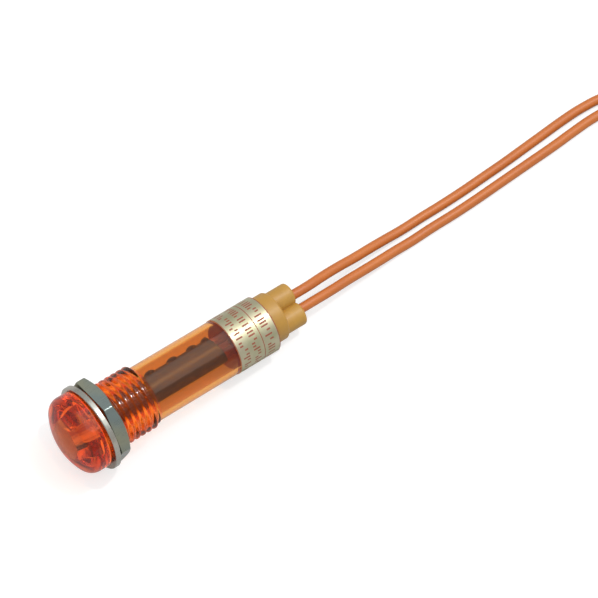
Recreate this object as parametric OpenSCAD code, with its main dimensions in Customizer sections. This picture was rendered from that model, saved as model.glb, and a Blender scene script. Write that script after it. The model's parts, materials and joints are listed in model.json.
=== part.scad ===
// Panel pilot light for a 10 mm hole: one moulded amber body with its dome, thread and barrel,
// a washer and a nut, a two-wire rear plug, and the light source inside. It lies on its side,
// front towards -Y, as it comes to rest. Each piece is drawn upright on its own axis, with the
// rear face of the head at z = 0 and the rear end upwards, and lying() lays the whole lamp down.

/* [Head and thread] */
// Diameter of the head
head_d = 12; // [11.4:0.1:12.8]
// Straight height of the head, from its seat to the foot of the dome
head_h = 1.5; // [1:0.1:2.5]
// Height of the dome above the straight part
dome_h = 3; // [2.6:0.1:3.6]
// Radius of the dome's rounded shoulder
dome_shoulder = 1.9; // [1.4:0.1:2.2]
// Outer diameter of the thread
thread_d = 9.8; // [9.6:0.05:9.9]
// Depth of the thread
thread_depth = 0.48; // [0.3:0.02:0.5]
// Pitch of the thread
thread_pitch = 1; // [0.75:0.25:1.25]
// Distance from the seat to the end of the thread
thread_end = 9.8; // [8.8:0.1:12]
// Length of the plain shank next to the head
shank_h = 0.9; // [0.6:0.1:1.2]

/* [Barrel] */
// Outer diameter of the barrel
barrel_d = 8.7; // [8.4:0.05:8.8]
// Distance from the seat to the rear end of the barrel
barrel_end = 31; // [29:0.5:36]
// Bore of the barrel
barrel_bore = 7.2; // [6.8:0.1:7.6]
// Bore through the head and thread
core_bore = 5.8; // [5.7:0.1:6.2]
// Width across the corners of the hexagonal light pocket
pocket_d = 5.6; // [5.2:0.1:5.6]
// Thickness of material left in front of the pocket
lens_front = 1.6; // [1.2:0.1:2.4]
// Angle of the hexagonal pocket about the axis
pocket_turn = -21.6; // [-60:0.1:60]

/* [Washer and nut] */
// Outer diameter of the washer
washer_d = 13.3; // [12.5:0.1:14]
// Bore of the washer
washer_bore = 10.3; // [10.3:0.1:11]
// Thickness of the washer
washer_t = 0.8; // [0.5:0.1:1.2]
// How far the loose washer hangs below the axis
washer_drop = 0.2; // [0:0.05:0.2]
// Lean of the loose washer
washer_lean = 1.7; // [0:0.1:2]
// Width of the nut across its flats
nut_flats = 12; // [12:0.1:13]
// Thickness of the nut
nut_t = 2; // [1.6:0.1:3]
// Width of the chamfer on the nut's rear corners
nut_chamfer = 0.65; // [0.3:0.05:0.9]
// Angle from straight down to the nearest corner of the nut
nut_turn = 18.7; // [0:0.1:30]

/* [Plug and label] */
// Diameter of the plug's flange
flange_d = 7.6; // [7.3:0.1:8]
// Thickness of the plug's flange
flange_h = 2.3; // [1.5:0.1:3]
// Radius of each wire barrel on the plug
lobe_r = 1.8; // [1.7:0.05:2]
// Distance between the centres of the two wire barrels
lobe_spacing = 3.2; // [3:0.1:3.4]
// Length of the wire barrels
lobe_h = 3.7; // [2.5:0.1:5]
// Distance between the two wire holes
wire_spacing = 2.3; // [2.2:0.05:2.35]
// Length of the plug's spigot inside the barrel
spigot_h = 5; // [3:0.5:7]
// Angle of the line through the two wires
wire_turn = 26.6; // [-90:0.1:90]
// How far the plug was glued off the barrel's axis
plug_shift = 0.2; // [0:0.01:0.25]
// Length of the foil label
label_w = 7.05; // [5:0.05:9]
// Thickness of the foil label
label_t = 0.08; // [0.06:0.01:0.15]
// Bare stretch of barrel behind the label
label_margin = 0.1; // [0.05:0.05:0.5]

/* [Light source] */
// Diameter of the lamp's epoxy body
led_d = 3; // [2.8:0.1:3.2]
// Diameter of the rim at its base
led_rim_d = 3.7; // [3.5:0.05:3.8]
// Distance of its tip in front of the seat
led_tip = 1.2; // [0.8:0.1:1.4]
// Length of its epoxy body
led_h = 4.4; // [4:0.1:5]
// Width of its square leads
led_lead = 0.5; // [0.4:0.05:0.5]
// Distance between its leads
led_pitch = 2.54; // [2.5:0.01:2.6]
// Outer diameter of the shrunk sleeve
sleeve_d = 4.3; // [4.3:0.05:4.6]
// Wall of the sleeve
sleeve_wall = 0.15; // [0.12:0.01:0.15]
// Distance from the seat to the sleeve's rear end
sleeve_end = 22.6; // [22:0.1:24]
// Slant of the sleeve's rear end
sleeve_slant = 13; // [0:1:20]
// Radius of the swellings on the sleeve
swelling_r = 1.2; // [1:0.05:1.3]
// Height of a swelling above the sleeve
swelling_h = 0.4; // [0.3:0.05:0.6]
// Diameter of the resistor's body
resistor_d = 2.3; // [2:0.1:2.3]
// Length of the resistor's body
resistor_h = 6.3; // [5.5:0.1:6.3]
// Diameter of the diode's body
diode_d = 1.9; // [1.7:0.1:2.2]
// Length of the diode's body
diode_h = 3.8; // [3.2:0.1:4]
// Diameter of the bare component leads
lead_d = 0.5; // [0.4:0.02:0.5]

/* [Lead wires] */
// Diameter over the insulation
wire_d = 1.5; // [1.4:0.02:1.5]
// Diameter of the stranded conductor
core_d = 0.6; // [0.5:0.02:0.6]
// Stripped length at the free ends
strip_h = 6; // [4:0.5:8]
// Length of the straight runs in the tied bundle
bundle_run = 24; // [22.5:0.5:30]
// Thickness of the bundle's tie
tie_t = 0.25; // [0.2:0.05:0.4]
// Width of the bundle's tie
tie_w = 3; // [2:0.5:5]

/* [Hidden] */
round_fn = 96;
eps = 0.01;

// running and seating clearances
nut_clearance = 0.05;
seat_play = 0.05;
slip = 0.02;
spigot_clearance = plug_shift + slip;

// dome: a shallow front cap that runs into a rounded shoulder
head_r = head_d / 2;
shoulder_x = head_r - dome_shoulder;
cap_sink = (pow(shoulder_x, 2) - pow(dome_h - dome_shoulder, 2)) / (2 * (dome_h - dome_shoulder));
cap_r = dome_h + cap_sink;
apex = head_h + dome_h;

// thread: rings of the true flank angle, the last one beside the barrel
thread_r = thread_d / 2;
root_r = thread_r - thread_depth;
crest_half = thread_pitch / 8;
ring_half = crest_half + thread_depth * tan(30);
last_ring = thread_end - ring_half - eps;
ring_count = floor((last_ring - ring_half - shank_h) / thread_pitch) + 1;

// washer and nut: the leaning washer takes up the play between the head and the nut
lean_rise = washer_d / 2 * sin(washer_lean);
washer_mid = seat_play + washer_t / 2 + lean_rise;
nut_front = washer_mid + washer_t / 2 + lean_rise + seat_play;
nut_corner_r = nut_flats / 2 / cos(30);
nut_edge = nut_front + nut_t - nut_chamfer;

// what the lamp lies on: the label's rear rim, and at the front whichever reaches lower
label_end = barrel_end - label_margin;
rear_r = barrel_d / 2 + label_t;
washer_low = washer_d / 2 + washer_drop;
washer_back = washer_mid + washer_t / 2 + lean_rise * cos(90 - wire_turn);
nut_low = nut_corner_r * cos(nut_turn);
lay_tilt = max(atan((washer_low - rear_r) / (label_end - washer_back)),
    atan((nut_low - rear_r) / (label_end - nut_edge)));
axis_height = label_end * sin(lay_tilt) + rear_r * cos(lay_tilt);

// the lamp's own middle is over the origin, between the dome and the plug
plug_end = barrel_end + flange_h + lobe_h;
front_reach = head_h * cos(lay_tilt) + norm([dome_h * cos(lay_tilt), head_r * sin(lay_tilt)]);
rear_reach = plug_end * cos(lay_tilt)
    + (lobe_spacing / 2 * sin(wire_turn) + lobe_r) * sin(lay_tilt);
lamp_shift = (front_reach - rear_reach) / 2;

// inside the sleeve: the lamp, then the resistor and the diode in one line beside the long lead
core_r = core_bore / 2;
led_base = led_h - led_tip;
post_front = 1;
arm_front = 1.5;
cup_front = 2.2;
cup_depth = 0.35;
die_w = 0.3;
die_h = 0.2;
sleeve_start = led_base - 1.7;
string_gap = 0.03;
lead_r = lead_d / 2;
lead_out = 1;
joint_h = 0.9;
solder_film = 0.3;
resistor_start = led_base + 2;
resistor_end = resistor_start + resistor_h;
diode_start = resistor_end + 2 * lead_out;
diode_end = diode_start + diode_h;
middle_joint = (resistor_end + diode_start) / 2;
wire_x = wire_spacing / 2;
insulation_start = diode_end + 1.6;
core_a_start = diode_end + lead_out - joint_h;
core_b_start = diode_start + 1.8;
cathode_end = core_b_start - lead_d / 2;

// the sleeve: shrunk onto the lamp and the resistor at its front and onto the wires at its rear,
// and pushed aside by the wires
solder_reach = led_pitch / 2 + core_d / 2 + solder_film;
waist_bore_r = sleeve_d / 2 - sleeve_wall;
rear_bore_r = max(waist_bore_r, max(solder_reach, wire_x + wire_d / 2) + slip);
sleeve_shift = max(0, plug_shift + wire_x + wire_d / 2 + slip - rear_bore_r);
core_shift = plug_shift - sleeve_shift;
string_x = core_d / 2 + lead_r + string_gap - wire_x - core_shift;
front_bore_r = max(waist_bore_r, max(led_rim_d / 2, solder_reach, resistor_d / 2 - string_x) + slip);
waist_start = resistor_end + 0.3;
waist_end = core_b_start - joint_h / 2 - 0.3;
waist_slope = 0.4;
swellings = [12.1, 16, 19.4, 22];

// free leads: where they leave the plug, in the lying lamp's frame
wire_r = wire_d / 2;
exit_a = exit_point(1);
exit_b = exit_point(-1);
start_run = [0, cos(lay_tilt), -sin(lay_tilt)];

// tied bundle: both leads go once round side by side, and their ends lie along the first run
outer_x = 7.7;
lead_gap = 1.6;
bundle_y = 105;
bundle_in = 7;
tie_in = 4;
tail_a_in = 7.5;
tail_b_in = 17.4;
tie_y = bundle_y + tie_in;
rear_outer_r = outer_x + wire_r;
rear_inner_r = outer_x - lead_gap - wire_r;
front_x = -lead_gap;
front_outer_r = outer_x - lead_gap + wire_r;
tail_a_x = outer_x - 2 * lead_gap;
tail_b_x = outer_x - 3 * lead_gap;
front_inner_r = tail_b_x - wire_r - front_x;
bundle_end_y = bundle_y + bundle_run;
tail_a_y = bundle_y + tail_a_in;
tail_b_y = bundle_y + tail_b_in;

// route of each lead from the plug to the bundle
route_a = [
    exit_a, exit_a + 3 * start_run,
    [0.7, 27, 2.7], [0.5, 30, 2.2], [0.4, 33, 1.75], [0.3, 36, 1.35], [0.2, 39, 1],
    [0.2, 42, wire_r], [0.2, 46, wire_r], [0.3, 50, wire_r], [0.3, 54, wire_r],
    [0.2, 58, wire_r], [0.1, 62, wire_r], [0, 66, wire_r], [-0.1, 70, wire_r],
    [-0.3, 74, wire_r], [-0.4, 78, wire_r], [0, 82, wire_r], [1.2, 85.5, wire_r],
    [3.1, 88.5, wire_r], [5.2, 91.2, wire_r], [6.9, 93.8, wire_r], [7.6, 96.2, wire_r],
    [outer_x, bundle_y - bundle_in, wire_r],
];
route_b = [
    exit_b, exit_b + 3 * start_run,
    [-1.6, 27, 3.5], [-1.8, 30, 2.9], [-1.9, 33, 2.3], [-2.1, 36, 1.7], [-2.2, 39, 1.2],
    [-2.2, 42, 0.85], [-2.2, 46, wire_r], [-2.1, 50, wire_r], [-2.1, 54, wire_r],
    [-2.2, 58, wire_r], [-2.3, 62, wire_r], [-2.5, 66, wire_r], [-2.7, 70, wire_r],
    [-2.9, 74, wire_r], [-2.9, 78, wire_r], [-2.4, 82, wire_r], [-1, 85.7, wire_r],
    [1, 88.8, wire_r], [3.2, 91.6, wire_r], [5.1, 94.1, wire_r], [5.9, 96.3, wire_r],
    [outer_x - lead_gap, bundle_y - bundle_in, wire_r],
];

// point of the lying lamp that is at [x, y] on the plug's rear face, side = 1 or -1
function exit_point(side) =
    let (
        across = side * wire_x - plug_shift,
        down = across * sin(wire_turn)
    )
    [
        across * cos(wire_turn),
        lamp_shift + plug_end * cos(lay_tilt) - down * sin(lay_tilt),
        axis_height - plug_end * sin(lay_tilt) - down * cos(lay_tilt),
    ];

// a round tube of eight sides swept along a route, with one ring at each of its points
sides = 8;
function unit(v) = v / norm(v);
function heading(route, i) =
    i == 0 ? unit(route[1] - route[0])
    : i == len(route) - 1 ? [0, 1, 0]
    : unit(unit(route[i + 1] - route[i]) + unit(route[i] - route[i - 1]));
function ring(route, i, r) =
    let (
        ahead = heading(route, i),
        across = unit(cross(ahead, [0, 0, 1])),
        over = cross(across, ahead)
    )
    [
        for (k = [0 : sides - 1])
            route[i] + r * (cos((k + 0.5) * 360 / sides) * across
                + sin((k + 0.5) * 360 / sides) * over)
    ];

module swept_tube(route, r) {
    last = len(route) - 1;
    points = [for (i = [0 : last]) each ring(route, i, r)];
    walls = [
        for (i = [0 : last - 1], k = [0 : sides - 1])
            let (n = (k + 1) % sides)
            each [
                [i * sides + k, i * sides + n, (i + 1) * sides + n],
                [i * sides + k, (i + 1) * sides + n, (i + 1) * sides + k],
            ]
    ];
    start_cap = [for (k = [1 : sides - 2]) [0, k + 1, k]];
    end_cap = [for (k = [1 : sides - 2]) [last * sides, last * sides + k, last * sides + k + 1]];
    polyhedron(points = points, faces = concat(walls, start_cap, end_cap), convexity = 4);
}

// lays a piece that was drawn upright on the lamp's axis into the resting lamp
module lying() {
    translate([0, lamp_shift, axis_height])
        rotate([-90 - lay_tilt, 0, 0])
            children();
}

// moves a piece to where the off-centre plug and its wires are
module at_plug() {
    rotate([0, 0, wire_turn])
        translate([-plug_shift, 0, 0])
            children();
}

// moves a piece into the sleeve, which the wires push to the same side
module at_sleeve() {
    rotate([0, 0, wire_turn])
        translate([-sleeve_shift, 0, 0])
            children();
}

// half of the dome: the two arcs meet on the line through both their centres
module dome_outline() {
    out = 2 * dome_h;
    shoulder = [shoulder_x, 0];
    meeting = shoulder + out * [shoulder_x, -cap_sink] / (cap_r - dome_shoulder);
    intersection() {
        translate([0, cap_sink])
            circle(r = cap_r, $fn = 2 * round_fn);
        polygon([[0, 0], [0, -out], meeting, shoulder]);
    }
    intersection() {
        translate(shoulder)
            circle(r = dome_shoulder, $fn = round_fn);
        polygon([shoulder, meeting, [shoulder_x + out, -out], [shoulder_x + out, 0]]);
    }
}

module thread_ring() {
    polygon([
        [root_r - eps, -ring_half],
        [root_r, -ring_half],
        [thread_r, -crest_half],
        [thread_r, crest_half],
        [root_r, ring_half],
        [root_r - eps, ring_half],
    ]);
}

module lens_body() {
    color([0.93, 0.33, 0.05, 0.75])
        lying()
            difference() {
                rotate_extrude($fn = round_fn) {
                    translate([0, -head_h])
                        dome_outline();
                    translate([0, -head_h])
                        square([head_r, head_h]);
                    square([thread_r, shank_h]);
                    square([root_r, thread_end]);
                    square([barrel_d / 2, barrel_end]);
                    for (i = [0 : ring_count - 1])
                        translate([0, last_ring - i * thread_pitch])
                            thread_ring();
                }
                rotate([0, 0, pocket_turn])
                    translate([0, 0, lens_front - apex])
                        cylinder(d = pocket_d, h = apex - lens_front + eps, $fn = 6);
                cylinder(r = core_r, h = thread_end, $fn = round_fn);
                translate([0, 0, thread_end - ring_half])
                    cylinder(d = barrel_bore, h = barrel_end, $fn = round_fn);
            }
}

module washer() {
    edge = 0.08;
    color("lightgray")
        lying()
            translate([0, washer_drop, washer_mid])
                rotate([0, 0, wire_turn])
                    rotate([0, -washer_lean, 0])
                        rotate_extrude($fn = round_fn)
                            polygon([
                                [washer_bore / 2, -washer_t / 2],
                                [washer_d / 2 - edge, -washer_t / 2],
                                [washer_d / 2, -washer_t / 2 + edge],
                                [washer_d / 2, washer_t / 2 - edge],
                                [washer_d / 2 - edge, washer_t / 2],
                                [washer_bore / 2, washer_t / 2],
                            ]);
}

module hex_nut() {
    bore_r = thread_r + nut_clearance;
    bore_edge = 0.25;
    face_r = nut_corner_r - nut_chamfer / tan(30);
    color("silver")
        lying()
            translate([0, 0, nut_front])
                difference() {
                    intersection() {
                        rotate([0, 0, 90 + nut_turn])
                            cylinder(r = nut_corner_r, h = nut_t, $fn = 6);
                        union() {
                            cylinder(r = nut_corner_r + eps, h = nut_t - nut_chamfer, $fn = round_fn);
                            translate([0, 0, nut_t - nut_chamfer])
                                cylinder(r1 = nut_corner_r + eps, r2 = face_r, h = nut_chamfer,
                                    $fn = round_fn);
                        }
                    }
                    translate([0, 0, -eps])
                        cylinder(r = bore_r, h = nut_t + 2 * eps, $fn = round_fn);
                    translate([0, 0, -eps])
                        cylinder(r1 = bore_r + bore_edge, r2 = bore_r, h = bore_edge, $fn = round_fn);
                    translate([0, 0, nut_t - bore_edge + eps])
                        cylinder(r1 = bore_r, r2 = bore_r + bore_edge, h = bore_edge, $fn = round_fn);
                }
}

module wire_barrel() {
    edge = 0.3;
    rotate_extrude($fn = round_fn) {
        square([lobe_r, lobe_h - edge]);
        square([lobe_r - edge, lobe_h]);
        translate([lobe_r - edge, lobe_h - edge])
            intersection() {
                circle(r = edge, $fn = round_fn);
                square(edge);
            }
    }
}

module rear_plug() {
    color([0.78, 0.58, 0.25])
        lying()
            at_plug()
                difference() {
                    union() {
                        translate([0, 0, barrel_end - spigot_h])
                            cylinder(r = barrel_bore / 2 - spigot_clearance, h = spigot_h,
                                $fn = round_fn);
                        translate([0, 0, barrel_end])
                            cylinder(d = flange_d, h = flange_h, $fn = round_fn);
                        for (side = [-1, 1])
                            translate([side * lobe_spacing / 2, 0, barrel_end + flange_h])
                                wire_barrel();
                    }
                    for (side = [-1, 1])
                        translate([side * wire_x, 0, barrel_end - spigot_h - eps])
                            cylinder(r = wire_r + slip, h = plug_end, $fn = round_fn);
                }
}

module foil_label() {
    color([0.78, 0.75, 0.5])
        lying()
            translate([0, 0, label_end - label_w])
                difference() {
                    cylinder(r = rear_r, h = label_w, $fn = round_fn);
                    translate([0, 0, -eps])
                        cylinder(d = barrel_d, h = label_w + 2 * eps, $fn = round_fn);
                }
}

// the sleeve's outline, this far outside its bore and past its ends
module sleeve_outline(out, past) {
    rotate_extrude($fn = round_fn)
        polygon([
            [0, sleeve_start - past],
            [front_bore_r + out, sleeve_start - past],
            [front_bore_r + out, waist_start],
            [waist_bore_r + out, waist_start + waist_slope],
            [waist_bore_r + out, waist_end - waist_slope],
            [rear_bore_r + out, waist_end],
            [rear_bore_r + out, sleeve_end + sleeve_d + past],
            [0, sleeve_end + sleeve_d + past],
        ]);
}

module insulating_sleeve() {
    swelling_x = sleeve_d / 2 + swelling_h - swelling_r;
    color([0.3, 0.22, 0.12])
        lying()
            at_sleeve()
                difference() {
                    union() {
                        sleeve_outline(sleeve_wall, 0);
                        for (z = swellings)
                            translate([-swelling_x, 0, z])
                                sphere(r = swelling_r, $fn = round_fn);
                    }
                    sleeve_outline(0, eps);
                    translate([0, 0, sleeve_end])
                        rotate([0, -sleeve_slant, 0])
                            translate([-sleeve_d, -sleeve_d, 0])
                                cube(2 * sleeve_d);
                }
}

module led_shape() {
    tip_r = led_d / 2;
    rim_h = 0.9;
    rotate_extrude($fn = round_fn) {
        intersection() {
            translate([0, tip_r - led_tip])
                circle(r = tip_r, $fn = round_fn);
            translate([0, -led_tip])
                square(led_d);
        }
        translate([0, tip_r - led_tip])
            square([tip_r, led_h - tip_r]);
        translate([0, led_base - rim_h])
            square([led_rim_d / 2, rim_h]);
    }
}

// the cup and the post inside the lamp, each on its own lead
module anode_shape(end) {
    translate([-led_pitch / 2 - led_lead / 2, -led_lead / 2, led_base - post_front])
        cube([led_lead, led_lead, end - led_base + post_front]);
    translate([-led_pitch / 2 + led_lead / 2 - eps, -led_lead / 2, led_base - post_front])
        cube([led_lead, led_lead, led_lead]);
}

module cathode_shape(end) {
    cup_r = 0.55;
    translate([led_pitch / 2 - led_lead / 2, -led_lead / 2, led_base - post_front])
        cube([led_lead, led_lead, end - led_base + post_front]);
    translate([0, -led_lead / 2, led_base - arm_front])
        cube([led_pitch / 2 + led_lead / 2, led_lead, arm_front - post_front + eps]);
    difference() {
        translate([0, 0, led_base - cup_front])
            cylinder(r = cup_r, h = cup_front - arm_front + eps, $fn = 48);
        translate([0, 0, led_base - cup_front - eps])
            cylinder(r1 = 0.45, r2 = 0.25, h = cup_depth, $fn = 48);
    }
}

module die_shape() {
    translate([-die_w / 2, -die_w / 2, led_base - cup_front + cup_depth - eps - die_h])
        cube([die_w, die_w, die_h]);
}

module led_epoxy() {
    color([0.8, 0.72, 0.6, 0.8])
        lying()
            at_sleeve()
                difference() {
                    led_shape();
                    anode_shape(led_base + eps);
                    cathode_shape(led_base + eps);
                    die_shape();
                }
}

module led_anode() {
    color("silver")
        lying()
            at_sleeve()
                anode_shape(resistor_start - slip);
}

module led_cathode() {
    color("silver")
        lying()
            at_sleeve()
                cathode_shape(cathode_end);
}

module led_die() {
    color("gold")
        lying()
            at_sleeve()
                die_shape();
}

// a piece of the resistor and diode string, at height z on the string's line
module on_string(z) {
    lying()
        at_sleeve()
            translate([string_x, 0, z])
                children();
}

module resistor_body() {
    cap_h = 1.6;
    waist_r = resistor_d / 2 - 0.2;
    color([0.75, 0.62, 0.45])
        on_string(resistor_start)
            rotate_extrude($fn = round_fn)
                polygon([
                    [0, 0],
                    [resistor_d / 2 - 0.3, 0],
                    [resistor_d / 2, 0.35],
                    [resistor_d / 2, cap_h - 0.3],
                    [waist_r, cap_h],
                    [waist_r, resistor_h - cap_h],
                    [resistor_d / 2, resistor_h - cap_h + 0.3],
                    [resistor_d / 2, resistor_h - 0.35],
                    [resistor_d / 2 - 0.3, resistor_h],
                    [0, resistor_h],
                ]);
}

module resistor_lead_front() {
    color("silver")
        on_string(led_base + 0.4)
            cylinder(r = lead_r, h = resistor_start - led_base - 0.4, $fn = 32);
}

module resistor_lead_rear() {
    color("silver")
        on_string(resistor_end)
            cylinder(r = lead_r, h = middle_joint - resistor_end, $fn = 32);
}

module diode_body() {
    color([0.15, 0.15, 0.16])
        on_string(diode_start)
            cylinder(d = diode_d, h = diode_h, $fn = round_fn);
}

module diode_lead_front() {
    color("silver")
        on_string(middle_joint)
            cylinder(r = lead_r, h = diode_start - middle_joint, $fn = 32);
}

module diode_lead_rear() {
    color("silver")
        on_string(diode_end)
            cylinder(r = lead_r, h = lead_out, $fn = 32);
}

// a solder joint: a small drop with rounded ends, round two wires that far apart
module solder_drop(apart) {
    r = apart / 2 + core_d / 2 + solder_film;
    edge = solder_film / 2;
    rotate_extrude($fn = 48)
        polygon([
            [0, 0],
            [r - edge, 0],
            [r, edge],
            [r, joint_h - edge],
            [r - edge, joint_h],
            [0, joint_h],
        ]);
}

module solder_anode() {
    apart = string_x + led_pitch / 2;
    color("lightgray")
        lying()
            at_sleeve()
                difference() {
                    translate([string_x - apart / 2, 0, resistor_start - joint_h - lead_d / 2])
                        solder_drop(apart);
                    anode_shape(resistor_start);
                    translate([string_x, 0, led_base])
                        cylinder(r = lead_r, h = resistor_start, $fn = 32);
                }
}

module solder_middle() {
    color("lightgray")
        on_string(middle_joint - joint_h / 2)
            difference() {
                solder_drop(0);
                translate([0, 0, -eps])
                    cylinder(r = lead_r, h = joint_h + 2 * eps, $fn = 32);
            }
}

module solder_wire_a() {
    apart = string_x + core_shift + wire_x;
    color("lightgray")
        lying()
            at_sleeve()
                difference() {
                    translate([string_x - apart / 2, 0, core_a_start])
                        solder_drop(apart);
                    translate([string_x, 0, diode_end])
                        cylinder(r = lead_r, h = lead_out, $fn = 32);
                    translate([-core_shift - wire_x, 0, core_a_start - eps])
                        cylinder(d = core_d, h = joint_h + 2 * eps, $fn = 32);
                }
}

module solder_wire_b() {
    apart = led_pitch / 2 + core_shift - wire_x;
    color("lightgray")
        lying()
            at_sleeve()
                difference() {
                    translate([led_pitch / 2 - apart / 2, 0, core_b_start - joint_h / 2])
                        solder_drop(apart);
                    cathode_shape(cathode_end);
                    translate([wire_x - core_shift, 0, core_b_start])
                        cylinder(d = core_d, h = joint_h, $fn = 32);
                }
}

module core_a() {
    color([0.8, 0.5, 0.3])
        lying()
            at_plug()
                translate([-wire_x, 0, core_a_start])
                    cylinder(d = core_d, h = insulation_start - core_a_start, $fn = 32);
}

module core_b() {
    color([0.8, 0.5, 0.3])
        lying()
            at_plug()
                translate([wire_x, 0, core_b_start])
                    cylinder(d = core_d, h = insulation_start - core_b_start, $fn = 32);
}

module inner_lead(side) {
    color([0.9, 0.4, 0.15])
        lying()
            at_plug()
                translate([side * wire_x, 0, insulation_start])
                    cylinder(r = wire_r, h = plug_end - insulation_start, $fn = round_fn);
}

module inner_lead_a() {
    inner_lead(-1);
}

module inner_lead_b() {
    inner_lead(1);
}

module lead_wire_a() {
    color([0.9, 0.4, 0.15])
        swept_tube(route_a, wire_r);
}

module lead_wire_b() {
    color([0.9, 0.4, 0.15])
        swept_tube(route_b, wire_r);
}

// the band of the tie, round the four leads that lie side by side
module tie_shape() {
    left = tail_b_x - wire_r;
    right = rear_outer_r;
    translate([0, tie_y - tie_w / 2, 0])
        difference() {
            translate([left - tie_t, 0, 0])
                cube([right - left + 2 * tie_t, tie_w, wire_d + tie_t]);
            translate([left, -eps, tie_t])
                cube([right - left, tie_w + 2 * eps, wire_d - tie_t]);
        }
}

module lead_bundle() {
    color([0.9, 0.4, 0.15])
        difference() {
            linear_extrude(wire_d)
                difference() {
                    union() {
                        translate([0, bundle_end_y])
                            circle(r = rear_outer_r, $fn = round_fn);
                        translate([-rear_outer_r, bundle_y])
                            square([2 * rear_outer_r, bundle_run]);
                        translate([front_x, bundle_y])
                            circle(r = front_outer_r, $fn = round_fn);
                        translate([rear_inner_r - lead_gap / 2, bundle_y - bundle_in])
                            square([rear_outer_r - rear_inner_r + lead_gap / 2, bundle_in + eps]);
                    }
                    translate([0, bundle_end_y])
                        circle(r = rear_inner_r, $fn = round_fn);
                    translate([-rear_inner_r, bundle_y])
                        square([rear_inner_r + tail_b_x - wire_r, bundle_run]);
                    translate([front_x, bundle_y])
                        circle(r = front_inner_r, $fn = round_fn);
                    translate([tail_b_x + wire_r, tail_a_y])
                        square([rear_inner_r - tail_b_x - wire_r, bundle_end_y - tail_a_y]);
                    translate([0, tail_b_y])
                        square([rear_inner_r, bundle_end_y - tail_b_y]);
                }
            tie_shape();
        }
}

module bundle_tie() {
    color("white")
        tie_shape();
}

module bare_end_a() {
    color("silver")
        translate([tail_a_x, tail_a_y, wire_r])
            rotate([-90, 0, 0])
                cylinder(d = core_d, h = strip_h, $fn = 32);
}

module bare_end_b() {
    color("silver")
        translate([tail_b_x, tail_b_y, wire_r])
            rotate([-90, 0, 0])
                cylinder(d = core_d, h = strip_h, $fn = 32);
}

lens_body();
washer();
hex_nut();
rear_plug();
foil_label();
insulating_sleeve();
led_epoxy();
led_anode();
led_cathode();
led_die();
resistor_body();
resistor_lead_front();
resistor_lead_rear();
diode_body();
diode_lead_front();
diode_lead_rear();
solder_anode();
solder_middle();
solder_wire_a();
solder_wire_b();
core_a();
core_b();
inner_lead_a();
inner_lead_b();
lead_wire_a();
lead_wire_b();
lead_bundle();
bundle_tie();
bare_end_a();
bare_end_b();
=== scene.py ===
"""A panel pilot light on a pale floor: a clear amber lamp body with its washer and nut, a tan rear
plug, a foil label, the light source hung inside and two orange leads that end in a tied bundle."""
import json
import math
import random

import bmesh
import bpy
from mathutils import Matrix, Vector


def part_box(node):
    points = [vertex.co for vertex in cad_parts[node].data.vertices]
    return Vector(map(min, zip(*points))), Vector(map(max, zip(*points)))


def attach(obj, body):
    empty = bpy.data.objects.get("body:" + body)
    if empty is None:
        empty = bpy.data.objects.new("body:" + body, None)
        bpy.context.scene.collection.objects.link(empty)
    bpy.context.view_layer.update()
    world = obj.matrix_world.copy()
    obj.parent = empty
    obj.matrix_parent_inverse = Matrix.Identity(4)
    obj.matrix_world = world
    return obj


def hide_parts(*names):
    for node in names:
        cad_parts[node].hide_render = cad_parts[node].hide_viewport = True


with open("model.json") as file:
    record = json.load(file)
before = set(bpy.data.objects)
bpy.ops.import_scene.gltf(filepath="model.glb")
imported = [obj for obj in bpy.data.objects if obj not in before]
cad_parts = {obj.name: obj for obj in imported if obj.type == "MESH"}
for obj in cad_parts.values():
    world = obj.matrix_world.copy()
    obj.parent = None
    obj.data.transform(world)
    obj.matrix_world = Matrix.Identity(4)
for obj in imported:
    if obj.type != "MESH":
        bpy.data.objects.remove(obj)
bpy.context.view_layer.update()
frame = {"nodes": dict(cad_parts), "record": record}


# The lamp lies on the rim of its washer and the rear rim of its label, so its axis dips a few
# degrees to the rear. Everything on it is drawn in millimetres on its own axis, with the head's
# seat at zero, and this matrix lays it down in metres.
seat = next(m for m in frame["record"]["mounts"] if m["name"] == "panel_seat")
across = Vector((1, 0, 0))
rearward = Vector(seat["axis"]).normalized()
downward = rearward.cross(across)
lying = Matrix((across, downward, rearward)).transposed().to_4x4()
lying.translation = seat["pos_m"]
lying = lying @ Matrix.Scale(0.001, 4)


# A long lens looks down on the lamp from its right, so that the whole lamp and the first stretch
# of the leads are in view.
def place_camera():
    azimuth, elevation, distance = math.radians(52.65), math.radians(58.58), 0.4265
    target = Vector((-0.0023, 0.0230, 0))
    back = Vector((
        math.sin(azimuth) * math.cos(elevation),
        -math.cos(azimuth) * math.cos(elevation),
        math.sin(elevation),
    ))
    data = bpy.data.cameras.new("camera")
    data.lens, data.sensor_width = 174.2, 36
    data.clip_start, data.clip_end = 0.01, 10
    camera = bpy.data.objects.new("camera", data)
    camera.location = target + distance * back
    camera.rotation_mode = "QUATERNION"
    camera.rotation_quaternion = (-back).to_track_quat("-Z", "Y")
    bpy.context.scene.collection.objects.link(camera)
    bpy.context.scene.camera = camera


place_camera()


# Lead wires: tinned copper strands in soft orange PVC, extruded, 1.5 mm over the insulation. They
# leave the plug side by side, come down to the floor in a loose line, and the spare length is
# folded into a small flat bundle.
wire_r = 0.75
lead_gap = 1.6
outer_x = 7.7
bundle_y, bundle_end_y = 105, 129
bundle_in = 7
front_x = -lead_gap
tie_y, tie_lift = 109, 0.25
run_ys = (114, 119, 124)
bend_steps = 12

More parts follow.
